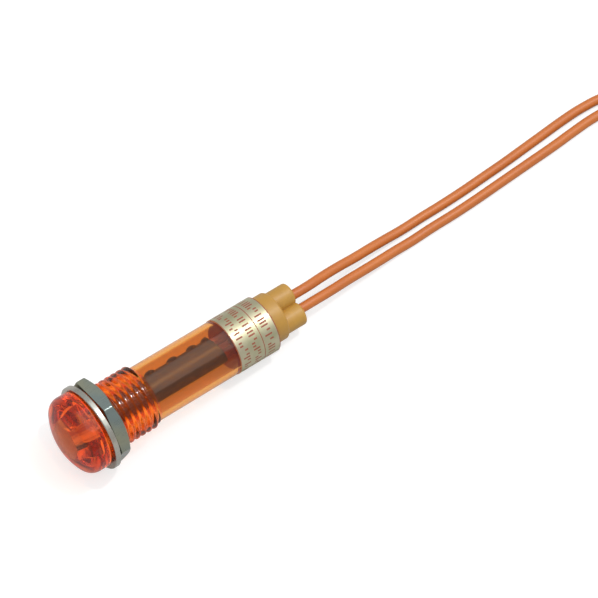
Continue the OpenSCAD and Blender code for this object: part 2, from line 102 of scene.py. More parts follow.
route_a = [
    (0.7, 27, 2.7), (0.5, 30, 2.2), (0.4, 33, 1.75), (0.3, 36, 1.35), (0.2, 39, 1),
    (0.2, 42, 0.75), (0.2, 46, 0.75), (0.3, 50, 0.75), (0.3, 54, 0.75),
    (0.2, 58, 0.75), (0.1, 62, 0.75), (0, 66, 0.75), (-0.1, 70, 0.75),
    (-0.3, 74, 0.75), (-0.4, 78, 0.75), (0, 82, 0.75), (1.2, 85.5, 0.75),
    (3.1, 88.5, 0.75), (5.2, 91.2, 0.75), (6.9, 93.8, 0.75), (7.6, 96.2, 0.75),
]
route_b = [
    (-1.6, 27, 3.5), (-1.8, 30, 2.9), (-1.9, 33, 2.3), (-2.1, 36, 1.7), (-2.2, 39, 1.2),
    (-2.2, 42, 0.85), (-2.2, 46, 0.75), (-2.1, 50, 0.75), (-2.1, 54, 0.75),
    (-2.2, 58, 0.75), (-2.3, 62, 0.75), (-2.5, 66, 0.75), (-2.7, 70, 0.75),
    (-2.9, 74, 0.75), (-2.9, 78, 0.75), (-2.4, 82, 0.75), (-1, 85.7, 0.75),
    (1, 88.8, 0.75), (3.2, 91.6, 0.75), (5.1, 94.1, 0.75), (5.9, 96.3, 0.75),
]

# the plug's wire holes, on a line turned about the lamp's axis and shifted off it
wire_turn = math.radians(26.6)
wire_x, plug_shift, plug_end = 1.15, 0.2, 37


def on_plug_line(x, z, y=0):
    """A point in the lamp's own millimetres, x along the line through both wires."""
    x -= plug_shift
    return Vector((
        x * math.cos(wire_turn) - y * math.sin(wire_turn),
        x * math.sin(wire_turn) + y * math.cos(wire_turn),
        z,
    ))


def bundle_points(x, tail_y):
    """Once round the bundle for the lead that comes in at x, with its tail beside the first run."""
    rear_r, front_r = x, x - lead_gap
    tail_x = x - 2 * lead_gap
    half_turn = [math.pi * step / bend_steps for step in range(bend_steps + 1)]
    points = [(x, y) for y in (bundle_y - bundle_in, bundle_y - 3, bundle_y, tie_y, *run_ys)]
    points += [(rear_r * math.cos(a), bundle_end_y + rear_r * math.sin(a)) for a in half_turn]
    points += [(-x, y) for y in (*reversed(run_ys), tie_y)]
    points += [(front_x - front_r * math.cos(a), bundle_y - front_r * math.sin(a)) for a in half_turn]
    points += [(tail_x, y) for y in (tie_y, tail_y)]
    placed = []
    for px, py in points:
        on_tie = px > 0 and abs(py - tie_y) < 1
        placed.append((px, py, wire_r + tie_lift if on_tie else wire_r))
    return placed


def lead_wire(name, side, route, tail_y):
    leaving = lying @ on_plug_line(side * wire_x, plug_end)
    points = [leaving, lying @ on_plug_line(side * wire_x, plug_end + 3)]
    in_x = outer_x if side > 0 else outer_x - lead_gap
    points += [Vector(p) * 0.001 for p in route + bundle_points(in_x, tail_y)]
    data = bpy.data.curves.new(name, "CURVE")
    data.dimensions = "3D"
    data.bevel_depth = 1
    data.bevel_resolution = 6
    data.use_fill_caps = True
    data.resolution_u = 6
    spline = data.splines.new("BEZIER")
    spline.bezier_points.add(len(points) - 1)
    for knot, point in zip(spline.bezier_points, points):
        knot.co = point
        knot.handle_left_type = knot.handle_right_type = "AUTO"
        knot.radius = wire_r * 0.001
    spline.bezier_points[0].handle_left_type = "VECTOR"
    piece = bpy.data.objects.new(name, data)
    bpy.context.scene.collection.objects.link(piece)
    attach(piece, "lamp")
    return piece, leaving


tail_a_y, tail_b_y = 112.5, 122.4
lead_a, exit_a = lead_wire("orange_lead_a", 1, route_a, tail_a_y)
lead_b, exit_b = lead_wire("orange_lead_b", -1, route_b, tail_b_y)
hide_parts("lead_wire_a", "lead_bundle")
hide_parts("lead_wire_b")


def linear(code):
    """An sRGB hex colour, such as "#c8641e", as linear RGBA."""
    parts = [int(code[i : i + 2], 16) / 255 for i in (1, 3, 5)]
    curve = [c / 12.92 if c <= 0.04045 else ((c + 0.055) / 1.055) ** 2.4 for c in parts]
    return (*curve, 1)


def add(tree, kind, sockets, **settings):
    """Adds a node. A socket's value is a number or colour, or the output that feeds it."""
    made = tree.nodes.new("ShaderNode" + kind)
    for name, value in settings.items():
        setattr(made, name, value)
    for name, value in sockets.items():
        if isinstance(value, bpy.types.NodeSocket):
            tree.links.new(value, made.inputs[name])
        else:
            made.inputs[name].default_value = value
    return made


def new_material(name):
    """An empty material's tree, ready for its nodes."""
    material = bpy.data.materials.new(name)
    material.use_nodes = True
    material.node_tree.nodes.clear()
    return material, material.node_tree


def grains(size):
    """The scale at which a pattern's patches come out this many millimetres across."""
    return 1000 / size


# Soft PVC, extruded: satin, with a slightly uneven colour and faint draw lines. The lines are
# finer in life, and are drawn 1.1 mm wide and 8.3 mm long so that they show.
def extruded_pvc():
    material, tree = new_material("extruded_orange_pvc")
    place = add(tree, "TexCoord", {})
    stretched = add(tree, "Mapping", {
        "Vector": place.outputs["Object"], "Scale": (grains(1.11), grains(8.33), grains(1.11)),
    })
    uneven = add(tree, "TexNoise", {"Vector": stretched.outputs["Vector"], "Scale": 1, "Detail": 3})
    colour = add(tree, "Mix", {
        "Factor": uneven.outputs["Fac"], "A": linear("#b76025"), "B": linear("#d07730"),
    }, data_type="RGBA")
    bump = add(tree, "Bump", {"Height": uneven.outputs["Fac"], "Strength": 0.3, "Distance": 0.00005})
    skin = add(tree, "BsdfPrincipled", {
        "Base Color": colour.outputs["Result"], "Roughness": 0.42, "IOR": 1.53,
        "Normal": bump.outputs["Normal"],
    })
    add(tree, "OutputMaterial", {"Surface": skin.outputs["BSDF"]})
    return material


def dress(piece, *materials):
    """Gives the piece, or the CAD node of that name, its materials, one for each of its slots."""
    if isinstance(piece, str):
        piece = frame["nodes"][piece]
        piece.data.materials.clear()
    for material in materials:
        piece.data.materials.append(material)
    return piece


pvc = extruded_pvc()
for piece in (lead_a, lead_b, "inner_lead_a", "inner_lead_b"):
    dress(piece, pvc)


# The object lies on one wide sheet of matt white board. A wide soft lamp hangs above it and to the
# rear, a small bright one beside that gives the glints, and a plain grey sky is brighter overhead.
# Both lamps lean along the object's line and a little across it, and their power is in watts.
floor_half = 3
floor_lift, floor_lift_in_gloss = 0.62, 0.2
horizon_grey, overhead_grey = "#aeaeae", "#e7e7e7"
lamp_distance, lamp_turn = 0.6, math.radians(8.6)
key_along, key_width, key_power = 0.384, 0.75, 1.5
glint_along, glint_power = 0.285, 3.6


# Matt board: it shows white to the eye and through glassy pieces, and less so in gloss, and it
# keeps the object's soft shadow.
def matt_white_board():
    material, tree = new_material("matt_white_board")
    sheet = add(tree, "BsdfDiffuse", {"Color": linear("#b8b8b8")})
    path = add(tree, "LightPath", {})
    gloss = add(tree, "Math", {
        0: path.outputs["Is Glossy Ray"], 1: floor_lift_in_gloss,
    }, operation="MULTIPLY")
    seen = add(tree, "Math", {
        0: path.outputs["Is Camera Ray"], 1: gloss.outputs[0],
    }, operation="MAXIMUM")
    seen_or_through = add(tree, "Math", {
        0: seen.outputs[0], 1: path.outputs["Is Transmission Ray"],
    }, operation="MAXIMUM")
    lift = add(tree, "Math", {0: seen_or_through.outputs[0], 1: floor_lift}, operation="MULTIPLY")
    white = add(tree, "Emission", {"Color": linear("#ffffff"), "Strength": lift.outputs[0]})
    both = add(tree, "AddShader", {0: sheet.outputs[0], 1: white.outputs[0]})
    add(tree, "OutputMaterial", {"Surface": both.outputs[0]})
    return material


def lay_floor():
    mesh = bpy.data.meshes.new("floor")
    corners = [(x * floor_half, y * floor_half, 0) for x, y in ((-1, -1), (1, -1), (1, 1), (-1, 1))]
    mesh.from_pydata(corners, [], [(0, 1, 2, 3)])
    floor = bpy.data.objects.new("floor", mesh)
    bpy.context.scene.collection.objects.link(floor)
    dress(floor, matt_white_board())


def hang_lamp(name, kind, along, power):
    """Hangs a lamp that faces the object, this far along its line from straight above."""
    data = bpy.data.lights.new(name, kind)
    data.energy = power
    lamp = bpy.data.objects.new(name, data)
    upright = math.cos(lamp_turn) * -downward + math.sin(lamp_turn) * across
    way = (along * rearward + math.sqrt(1 - along * along) * upright).normalized()
    lamp.location = lamp_distance * way
    lamp.rotation_mode = "QUATERNION"
    lamp.rotation_quaternion = way.to_track_quat("Z", "Y")
    bpy.context.scene.collection.objects.link(lamp)
    return data


def plain_sky():
    world = bpy.data.worlds.new("grey_sky")
    world.use_nodes = True
    bpy.context.scene.world = world
    tree = world.node_tree
    tree.nodes.clear()
    place = add(tree, "TexCoord", {})
    part = add(tree, "SeparateXYZ", {"Vector": place.outputs["Generated"]})
    height = add(tree, "MapRange", {"Value": part.outputs["Z"]})
    grey = add(tree, "Mix", {
        "Factor": height.outputs["Result"], "A": linear(horizon_grey), "B": linear(overhead_grey),
    }, data_type="RGBA")
    sky = add(tree, "Background", {"Color": grey.outputs["Result"]})
    white = add(tree, "Background", {"Color": linear("#ffffff")})
    path = add(tree, "LightPath", {})
    both = add(tree, "MixShader", {
        0: path.outputs["Is Camera Ray"], 1: sky.outputs[0], 2: white.outputs[0],
    })
    add(tree, "OutputWorld", {"Surface": both.outputs[0]})


lay_floor()
plain_sky()
key = hang_lamp("key_lamp", "AREA", key_along, key_power)
key.shape, key.size = "SQUARE", key_width
glint = hang_lamp("glint_lamp", "POINT", glint_along, glint_power)
glint.shadow_soft_size = 0
bpy.context.scene.view_settings.view_transform = "Standard"


# The lamp body is one injection moulding of clear amber polycarbonate: a domed head with a
# hexagonal pocket behind its face, a threaded shank, and a plain barrel that is open at the rear.
head_r, head_h = 6, 1.5
cap_r, cap_z = 10.09, 5.59
shoulder_r = 1.9
pocket_r, pocket_front, pocket_turn = 2.8, -2.9, math.radians(-21.6)
bore_r, bore_end = 2.9, 9.41
thread_r, root_r, shank_h, thread_end, pitch = 4.9, 4.42, 0.9, 9.8, 1
crest_zero = 0.696
fade_in, fade_out = 0.4, 0.6
barrel_r, barrel_bore_r, barrel_end = 4.35, 3.6, 31
around = 192
sharp_from = math.radians(38)

# half of one turn's profile: how far along the pitch, and how high between root and crest
crest_half = [(0, 1), (0.052, 1), (0.066, 1), (0.1, 0.975), (0.13, 0.92), (0.16, 0.84), (0.2, 0.7),
              (0.3, 0.34), (0.36, 0.125), (0.39, 0.05), (0.42, 0.015), (0.46, 0)]
turn_profile = crest_half + [(1 - along, high) for along, high in reversed(crest_half[1:])]


def angles():
    return [pocket_turn + 2 * math.pi * i / around for i in range(around + 1)]


def ring(z, radius):
    """A row of points round the lamp's axis. The radius may depend on the angle."""
    if not callable(radius):
        return [(radius * math.cos(a), radius * math.sin(a), z) for a in angles()]
    return [(radius(a) * math.cos(a), radius(a) * math.sin(a), z) for a in angles()]


def hexagon(corner_r, turn):
    """The radius of a hexagon with a corner at that angle."""
    def radius(a):
        part = (a - turn) % (math.pi / 3) - math.pi / 6
        return corner_r * math.cos(math.pi / 6) / math.cos(part)
    return radius


def arc(z, r, radius, start, end, steps, first=0):
    """Rows along an arc about (z, r), from angles measured from the front of the axis."""
    rows = []
    for step in range(first, steps + 1):
        a = start + (end - start) * step / steps
        rows.append((z - radius * math.cos(a), r + radius * math.sin(a)))
    return rows


def held(rows, near=0.06):
    """Adds rows just inside both ends of each long stretch, so that it is shaded straight."""
    full = [rows[0]]
    for (z0, r0), (z1, r1) in zip(rows, rows[1:]):
        length = math.hypot(z1 - z0, r1 - r0)
        if length > 6 * near:
            for part in (near / length, 1 - near / length):
                full.append((z0 + (z1 - z0) * part, r0 + (r1 - r0) * part))
        full.append((z1, r1))
    return full


def thread_rows():
    """The thread's rows climb with its helix, and fade into the core at both ends."""
    rows = []
    per_turn = len(turn_profile)
    first, last = -1, math.ceil(thread_end / pitch)
    for step in range((last - first) * per_turn):
        along, high = turn_profile[step % per_turn]
        z_zero = crest_zero + pitch * (first + step // per_turn + along)
        row = []
        for a in angles():
            z = min(max(z_zero + pitch * a / (2 * math.pi), shank_h), thread_end)
            fade = min(1, (z - shank_h) / fade_in, (thread_end - z) / fade_out)
            fade = fade * fade * (3 - 2 * fade)
            r = root_r + (thread_r - root_r) * high * fade
            row.append((r * math.cos(a), r * math.sin(a), z))
        rows.append(row)
    return rows


def skin(rows, name, slot_at=None):
    """A closed mesh through the rows, from the lamp's millimetres to metres where it lies."""
    shell = bmesh.new()
    made = [[shell.verts.new(lying @ Vector(p)) for p in row] for row in rows]
    for j, (row, after) in enumerate(zip(made, made[1:])):
        for i in range(len(row) - 1):
            face = shell.faces.new((row[i], row[i + 1], after[i + 1], after[i]))
            face.material_index = slot_at(j, i) if slot_at else 0
    bmesh.ops.remove_doubles(shell, verts=shell.verts, dist=2e-7)
    bmesh.ops.dissolve_degenerate(shell, edges=shell.edges, dist=1e-7)
    bmesh.ops.holes_fill(shell, edges=shell.edges)
    bmesh.ops.recalc_face_normals(shell, faces=shell.faces)
    mesh = bpy.data.meshes.new(name)
    shell.to_mesh(mesh)
    shell.free()
    mesh.polygons.foreach_set("use_smooth", [True] * len(mesh.polygons))
    mesh.set_sharp_from_angle(angle=sharp_from)
    return mesh


def new_piece(name, mesh, body, slot, *nodes):
    """Puts a mesh in the scene on its body, in place of the CAD nodes it stands for."""
    piece = bpy.data.objects.new(name, mesh)
    bpy.context.scene.collection.objects.link(piece)
    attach(piece, body)
    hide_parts(*nodes)
    return piece


def lens_body_mesh():
    reach = math.acos((cap_z + head_h) / (cap_r - shoulder_r))
    edge = 0.12
    outer = arc(cap_z, 0, cap_r, 0, reach, 20)
    outer += arc(-head_h, head_r - shoulder_r, shoulder_r, reach, math.pi / 2, 12, 1)
    outer += arc(-edge, head_r - edge, edge, math.pi / 2, math.pi, 4)
    outer += [(0, thread_r + edge), (edge, thread_r), (shank_h, thread_r), (shank_h, root_r)]
    rear = [(thread_end, root_r), (thread_end + 0.07, barrel_r)]
    rear += arc(barrel_end - edge, barrel_r - edge, edge, math.pi / 2, math.pi, 4)
    rear += [(barrel_end, barrel_bore_r + edge), (barrel_end - edge, barrel_bore_r)]
    rear += [(bore_end, barrel_bore_r), (bore_end, bore_r), (0, bore_r)]
    pocket = hexagon(pocket_r, pocket_turn)
    rows = [ring(z, r) for z, r in held(outer)] + thread_rows()
    rows += [ring(z, r) for z, r in held(rear)]
    rows += [ring(0, pocket), ring(pocket_front, pocket), ring(pocket_front, 0)]
    return skin(rows, "lens_body")


def mark_faces(mesh, name, strength):
    """Stores on each face a number from its middle's place in the lamp's own millimetres."""
    upright = lying.inverted()
    marks = mesh.attributes.new(name, "FLOAT", "FACE")
    for face, mark in zip(mesh.polygons, marks.data):
        x, y, z = upright @ face.center
        mark.value = strength(math.hypot(x, y), z)


# Polycarbonate from a polished mould: glassy, and wavy over some 3 mm. The amber dye takes out the
# blue and half the green, so thick places turn from orange to red. The head and thread get a faint
# painted glow, emission that stands in for light spread in the plastic, and the head gets a brighter
# orange painted tint than the barrel. The matt places scatter what comes through, and the pocket's
# matt front is painted dark red, painted shade.
head_painted_glow = 0.05


def amber_polycarbonate():
    material, tree = new_material("moulded_amber_polycarbonate")
    place = add(tree, "TexCoord", {})
    wavy = add(tree, "TexNoise", {
        "Vector": place.outputs["Object"], "Scale": grains(2.86), "Detail": 2,
    })
    bump = add(tree, "Bump", {"Height": wavy.outputs["Fac"], "Strength": 0.12, "Distance": 0.00004})
    matt = add(tree, "Attribute", {}, attribute_name="matt")
    # painted light: this mask gives the head and thread their painted glow, and the head its brighter
    # painted tint
    painted_light_mask = add(tree, "Attribute", {}, attribute_name="painted_light_mask")
    painted_head_tint_mask = add(tree, "MapRange", {"Value": painted_light_mask.outputs["Fac"], "From Max": 0.2})
    tint = add(tree, "Mix", {
        "Factor": painted_head_tint_mask.outputs["Result"], "A": linear("#e1a856"), "B": linear("#f79a4a"),
    }, data_type="RGBA")
    # painted shade: faces over one half matt, only the pocket's front, get a dark red colour
    painted_front_shade = add(tree, "MapRange", {"Value": matt.outputs["Fac"], "From Min": 0.5})
    tint_or_painted_shade = add(tree, "Mix", {
        "Factor": painted_front_shade.outputs["Result"], "A": tint.outputs["Result"], "B": linear("#5a120c"),
    }, data_type="RGBA")
    rough = add(tree, "MapRange", {"Value": matt.outputs["Fac"], "To Max": 0.5})
    # painted glow: emission in the head and thread, where no lamp is
    painted_glow = add(tree, "Mix", {
        "Factor": painted_light_mask.outputs["Fac"], "A": linear("#000000"), "B": linear("#f37327"),
    }, data_type="RGBA")
    body = add(tree, "BsdfPrincipled", {
        "Base Color": tint_or_painted_shade.outputs["Result"], "Roughness": rough.outputs["Result"],
        "IOR": 1.46, "Transmission Weight": 1, "Normal": bump.outputs["Normal"],
        "Emission Color": painted_glow.outputs["Result"], "Emission Strength": head_painted_glow,
    })
    path = add(tree, "LightPath", {})
    through = add(tree, "BsdfTransparent", {"Color": linear("#f0edea")})
    both = add(tree, "MixShader", {
        0: path.outputs["Is Shadow Ray"], 1: body.outputs[0], 2: through.outputs[0],
    })
    dye = add(tree, "VolumeAbsorption", {"Color": linear("#feb900"), "Density": 200})
    add(tree, "OutputMaterial", {"Surface": both.outputs[0], "Volume": dye.outputs[0]})
    return material


front_matt_and_shade, wall_matt, thread_matt = 1, 0.15, 0.35
# how much painted glow the thread and the dome get
thread_painted_light, dome_painted_light = 0.5, 0.12
dome_from = -1.5


def mould_finish(r, z):
    """How matt the mould left the face: the pocket's front most, then the thread, then the walls.
    Only the front is over one half, which also paints it dark red as painted shade.
    """
    if abs(z - pocket_front) < 0.01 and r < pocket_r:
        return front_matt_and_shade
    if r < pocket_r and z < 0:
        return wall_matt
    return thread_matt if shank_h < z < thread_end and r > bore_r + 0.1 else 0


def painted_light_amount(r, z):
    """How much painted glow the face gets, and fully from a fifth upward the head's painted tint:
    none on the barrel, little on the dome.
    """
    if z >= thread_end:
        return 0
    if z > 0:
        return thread_painted_light
    on_dome = z < dome_from and r > pocket_r + 0.05 or z < pocket_front - 0.1
    return dome_painted_light if on_dome else 1


lens_mesh = lens_body_mesh()
mark_faces(lens_mesh, "matt", mould_finish)
mark_faces(lens_mesh, "painted_light_mask", painted_light_amount)
lens = new_piece("amber_lens_body", lens_mesh, "lamp", "amber_polycarbonate", "lens_body")
dress(lens, amber_polycarbonate())


# The washer is punched from sheet steel and nickel plated: one edge is rolled over by the punch.
# It hangs loosely behind the head and leans a little.
washer_r, washer_bore_r, washer_t, washer_drop = 6.65, 5.15, 0.8, 0.2
washer_lean = math.radians(1.7)
play = 0.05
washer_rise = washer_r * math.sin(washer_lean)
washer_mid = play + washer_t / 2 + washer_rise


def washer_mesh():
    low, high, roll, burr = -washer_t / 2, washer_t / 2, 0.16, 0.05
    loop = [(low + 0.05, washer_bore_r), (low, washer_bore_r + 0.05)]
    loop += arc(low + roll, washer_r - roll, roll, 0, math.pi / 2, 5)
    loop += arc(high - burr, washer_r - burr, burr, math.pi / 2, math.pi, 2)
    loop += [(high, washer_bore_r + 0.1), (high - 0.1, washer_bore_r), (low + 0.05, washer_bore_r)]
    leaning = (
        Matrix.Translation((0, washer_drop, washer_mid))
        @ Matrix.Rotation(wire_turn, 4, "Z")
        @ Matrix.Rotation(-washer_lean, 4, "Y")
    )
    return skin([[leaning @ Vector(p) for p in ring(z, r)] for z, r in held(loop)], "washer")


# Bright nickel plate: a mirror softened by fine grain, with short scratches from the plating
# barrel and a faint blue-grey and straw tone in patches some 8 mm wide, painted reflection that
# stands in for the cool and warm surroundings the facets mirror. Grain and scratches are finer in
# life, and are drawn 0.4 and 0.25 mm wide so that they show.
def nickel_plate(name, straw, blue, grain):
    material, tree = new_material(name)
    place = add(tree, "TexCoord", {})
    fine = add(tree, "TexNoise", {
        "Vector": place.outputs["Object"], "Scale": grains(0.4), "Detail": 4,
    })
    broad = add(tree, "TexNoise", {
        "Vector": place.outputs["Object"], "Scale": grains(7.7), "Detail": 3,
    })
    drawn = add(tree, "Mapping", {
        "Vector": place.outputs["Object"], "Scale": (grains(0.25), grains(2), grains(0.714)),
    })
    scratch = add(tree, "TexNoise", {"Vector": drawn.outputs["Vector"], "Scale": 1, "Detail": 2})
    rough = add(tree, "MapRange", {
        "Value": scratch.outputs["Fac"], "From Min": 0.3, "From Max": 0.7,
        "To Min": grain, "To Max": grain + 0.14,
    })
    # painted reflection: blue-grey and straw patches
    painted_reflection_patches = add(tree, "MapRange", {
        "Value": broad.outputs["Fac"], "From Min": 0.38, "From Max": 0.62,
    })
    tone = add(tree, "Mix", {
        "Factor": painted_reflection_patches.outputs["Result"], "A": linear(straw), "B": linear(blue),
    }, data_type="RGBA")
    bump = add(tree, "Bump", {"Height": fine.outputs["Fac"], "Strength": 0.15, "Distance": 0.00001})
    metal = add(tree, "BsdfPrincipled", {
        "Base Color": tone.outputs["Result"], "Metallic": 1, "Roughness": rough.outputs["Result"],
        "Normal": bump.outputs["Normal"],
    })
    add(tree, "OutputMaterial", {"Surface": metal.outputs[0]})
    return material


washer = new_piece("punched_washer", washer_mesh(), "washer", "plated_washer", "washer")
dress(washer, nickel_plate("nickel_plated_sheet_steel", "#c4beb2", "#b0b1a9", 0.2))


# The nut is milled from hexagonal brass bar, with its corners chamfered on the rear face and its
# edges tumbled smooth, and plated. It runs on the lamp's thread.
nut_half_flats, nut_t, nut_chamfer = 6, 2, 0.65
nut_turn = math.radians(90 + 18.7)
nut_bore_r, nut_lead_in, nut_edge = 4.95, 0.25, 0.09
nut_corner_round = 0.3
corner_steps, edge_steps = 4, 3
chamfer_angle = math.radians(30)
flat_parts = (0.02, 0.1, 0.2, 0.3, 0.4, 0.5, 0.6, 0.7, 0.8, 0.9, 0.98)
# the worn edge where the chamfer meets the flats: rise and inset, in widths of an edge
brow_edge = ((-2, 0), (-1, 0), (-0.25, 0.18), (0.5, 0.87))
nut_front = washer_mid + washer_t / 2 + washer_rise + play


def nut_outline():
    """Each point's angle and radius: close steps round the corners and wide ones on the flats."""
    sixth = math.pi / 6
    hub = (nut_half_flats - nut_corner_round) / math.cos(sixth)
    tangent = math.atan2(
        nut_corner_round * math.sin(sixth), hub + nut_corner_round * math.cos(sixth)
    )
    points = []
    for corner in range(6):
        middle = nut_turn + corner * 2 * sixth
        for step in range(-corner_steps, corner_steps + 1):
            a = tangent * step / corner_steps
            side = hub * math.sin(a)
            points.append((middle + a, hub * math.cos(a) + math.sqrt(nut_corner_round**2 - side**2)))
        for part in flat_parts:
            a = tangent + (2 * sixth - 2 * tangent) * part
            points.append((middle + a, nut_half_flats / math.cos(sixth - a)))
    return points + points[:1]


def nut_mesh():
    outline = nut_outline()
    slope = math.tan(chamfer_angle)
    face_r = nut_half_flats / math.cos(math.radians(30)) - nut_chamfer / slope
    bore_out = nut_bore_r + nut_lead_in

    def row(place):
        """One row round the nut. Place turns the outline's radius into a height and a radius."""
        points = []
        for a, outline_r in outline:
            z, r = place(outline_r)
            points.append((r * math.cos(a), r * math.sin(a), nut_front + z))
        return points

    def round_row(z, r):
        return row(lambda outline_r: (z, r))

    def flats_row(z, inset):
        return row(lambda outline_r: (z, outline_r - inset))

    def brow_row(rise, inset):
        return row(lambda outline_r: (nut_t - (outline_r - face_r) * slope + rise, outline_r - inset))

    rows = [round_row(nut_lead_in, nut_bore_r), round_row(0, bore_out), flats_row(0, 2 * nut_edge)]
    for step in range(edge_steps + 1):
        a = math.pi / 2 * step / edge_steps
        rows.append(flats_row(nut_edge * (1 - math.cos(a)), nut_edge * (1 - math.sin(a))))
    rows.append(flats_row(2 * nut_edge, 0))
    rows += [brow_row(nut_edge * rise, nut_edge * inset) for rise, inset in brow_edge]
    rows += [
        round_row(nut_t - 0.05, face_r + 0.08), round_row(nut_t, face_r - 0.06),
        round_row(nut_t, bore_out), round_row(nut_t - nut_lead_in, nut_bore_r),
        round_row(nut_lead_in, nut_bore_r),
    ]
    return skin(rows, "hex_nut")


nut = new_piece("milled_nut", nut_mesh(), "nut", "plated_nut", "hex_nut")
dress(nut, nickel_plate("nickel_plated_bar_brass", "#aea988", "#8e9b98", 0.24))


# A plug moulded in tan polyamide closes the rear: a spigot inside the barrel, a round flange, and
# two barrels side by side that grip the wires. It was glued in a little off the middle.
spigot_r, spigot_h, spigot_edge = 3.38, 5, 0.3
flange_r, flange_h, flange_edge, flange_front_edge = 3.8, 2.3, 0.35, 0.15
lobe_r, lobe_x, lobe_edge, lobe_steps = 1.8, 1.6, 0.35, 5
wire_hole_r = 0.77
drill_from, drill_to = 20, 40


def lobes(cut):
    """The outline of both wire barrels about the point between them, this far inside their walls."""
    def radius(a):
        reach = (lobe_r - cut) ** 2 - (lobe_x * math.sin(a)) ** 2
        return lobe_x * abs(math.cos(a)) + math.sqrt(max(reach, 0))
    return radius


def plug_mesh():
    spigot_front = barrel_end - spigot_h
    flange_rear = barrel_end + flange_h
    round_rows = [
        (spigot_front, 0), (spigot_front, spigot_r - spigot_edge),
        (spigot_front + spigot_edge, spigot_r), (barrel_end, spigot_r),
    ]
    round_rows += arc(
        barrel_end + flange_front_edge, flange_r - flange_front_edge, flange_front_edge,
        0, math.pi / 2, 3,
    )
    round_rows += arc(
        flange_rear - flange_edge, flange_r - flange_edge, flange_edge, math.pi / 2, math.pi, 5
    )
    rows = [ring(z, r) for z, r in held(round_rows)]
    # a small fillet where the wire barrels rise from the flange
    rows += [ring(flange_rear, lobes(cut)) for cut in (-0.2, -0.1)]
    rows += [ring(flange_rear + 0.1, lobes(0)), ring(flange_rear + 0.2, lobes(0))]
    rows.append(ring(plug_end - lobe_edge - 0.06, lobes(0)))
    for step in range(lobe_steps + 1):
        a = math.pi / 2 * step / lobe_steps
        z = plug_end - lobe_edge * (1 - math.sin(a))
        rows.append(ring(z, lobes(lobe_edge * (1 - math.cos(a)))))
    rows.append(ring(plug_end, 0))
    placed = [[on_plug_line(x, z, y) for x, y, z in row] for row in rows]
    plug = bpy.data.objects.new("plug_blank", skin(placed, "rear_plug"))
    bpy.context.scene.collection.objects.link(plug)
    for side in (-1, 1):
        bit = [(drill_from, 0), (drill_from, wire_hole_r), (drill_to, wire_hole_r), (drill_to, 0)]
        moved = [
            [on_plug_line(x + side * wire_x, z, y) for x, y, z in ring(*place)] for place in bit
        ]
        drill = bpy.data.objects.new("drill", skin(moved, "drill"))
        bpy.context.scene.collection.objects.link(drill)
        cut = plug.modifiers.new("wire_hole", "BOOLEAN")
        cut.operation, cut.object, cut.solver = "DIFFERENCE", drill, "EXACT"
        drill.hide_render = True
    bpy.context.view_layer.update()
    mesh = bpy.data.meshes.new_from_object(plug.evaluated_get(bpy.context.evaluated_depsgraph_get()))
    mesh.polygons.foreach_set("use_smooth", [True] * len(mesh.polygons))
    mesh.set_sharp_from_angle(angle=sharp_from)
    for spare in [plug] + [cut.object for cut in plug.modifiers]:
        bpy.data.objects.remove(spare)
    return mesh


# Moulded plastic: satin, with 2 mm clouds in its colour and the mould's spark texture, which is
# finer in life and is drawn in grains of a third of a millimetre so that it shows.
# painted_glow gives the plastic a painted glow, emission in its own colour that stands in for light;
# only the label's adhesive has one
def moulded_plastic(name, light, dark, rough, painted_glow=0):
    material, tree = new_material(name)
    place = add(tree, "TexCoord", {})
    cloud = add(tree, "TexNoise", {
        "Vector": place.outputs["Object"], "Scale": grains(2), "Detail": 4,
    })
    tone = add(tree, "Mix", {
        "Factor": cloud.outputs["Fac"], "A": linear(light), "B": linear(dark),
    }, data_type="RGBA")
    grain = add(tree, "TexNoise", {
        "Vector": place.outputs["Object"], "Scale": grains(1 / 3), "Detail": 2,
    })
    bump = add(tree, "Bump", {"Height": grain.outputs["Fac"], "Strength": 0.2, "Distance": 0.00002})
    body = add(tree, "BsdfPrincipled", {
        "Base Color": tone.outputs["Result"], "Roughness": rough, "IOR": 1.53,
        "Normal": bump.outputs["Normal"], "Emission Color": tone.outputs["Result"],
        "Emission Strength": painted_glow,
    })
    add(tree, "OutputMaterial", {"Surface": body.outputs[0]})
    return material


plug = new_piece("two_wire_plug", plug_mesh(), "lamp", "tan_plastic", "rear_plug")
dress(plug, moulded_plastic("moulded_tan_polyamide", "#c4963f", "#ae8038", 0.42))


# The rating label is a band of gold foil, wrapped once round the rear of the barrel with its ends
# just apart underneath. Thin brown rules are printed on it, with plain strokes between them.
label_end, label_w, label_r = 30.9, 7.05, 4.43
strokes_around = 112
stroke_step = 2 * math.pi / strokes_around
label_gap_at = 4
edge_rule, rule = 0.12, 0.13
stroke_rows = [(0.62, 1.72), (2.52, 3.62), (4.9, 6.1)]
rule_at = 4.25


def label_heights():
    """Where the print starts and stops across the label, from its front edge."""
    marks = [0, edge_rule, rule_at, rule_at + rule, label_w - edge_rule, label_w]
    for low, high in stroke_rows:
        marks += [low, (low + high) / 2, high]
    return sorted(marks)


def stroke_pattern():
    """For each row of strokes, which halves of it are printed at each step round the label."""
    dice = random.Random(7)
    pattern = []
    for _ in stroke_rows:
        row = []
        while len(row) < strokes_around:
            row += [dice.choice([(1, 1), (1, 1), (1, 0), (0, 1)])]
            row += [(0, 0)] * dice.choice([1, 1, 2])
        pattern.append(row)
    return pattern


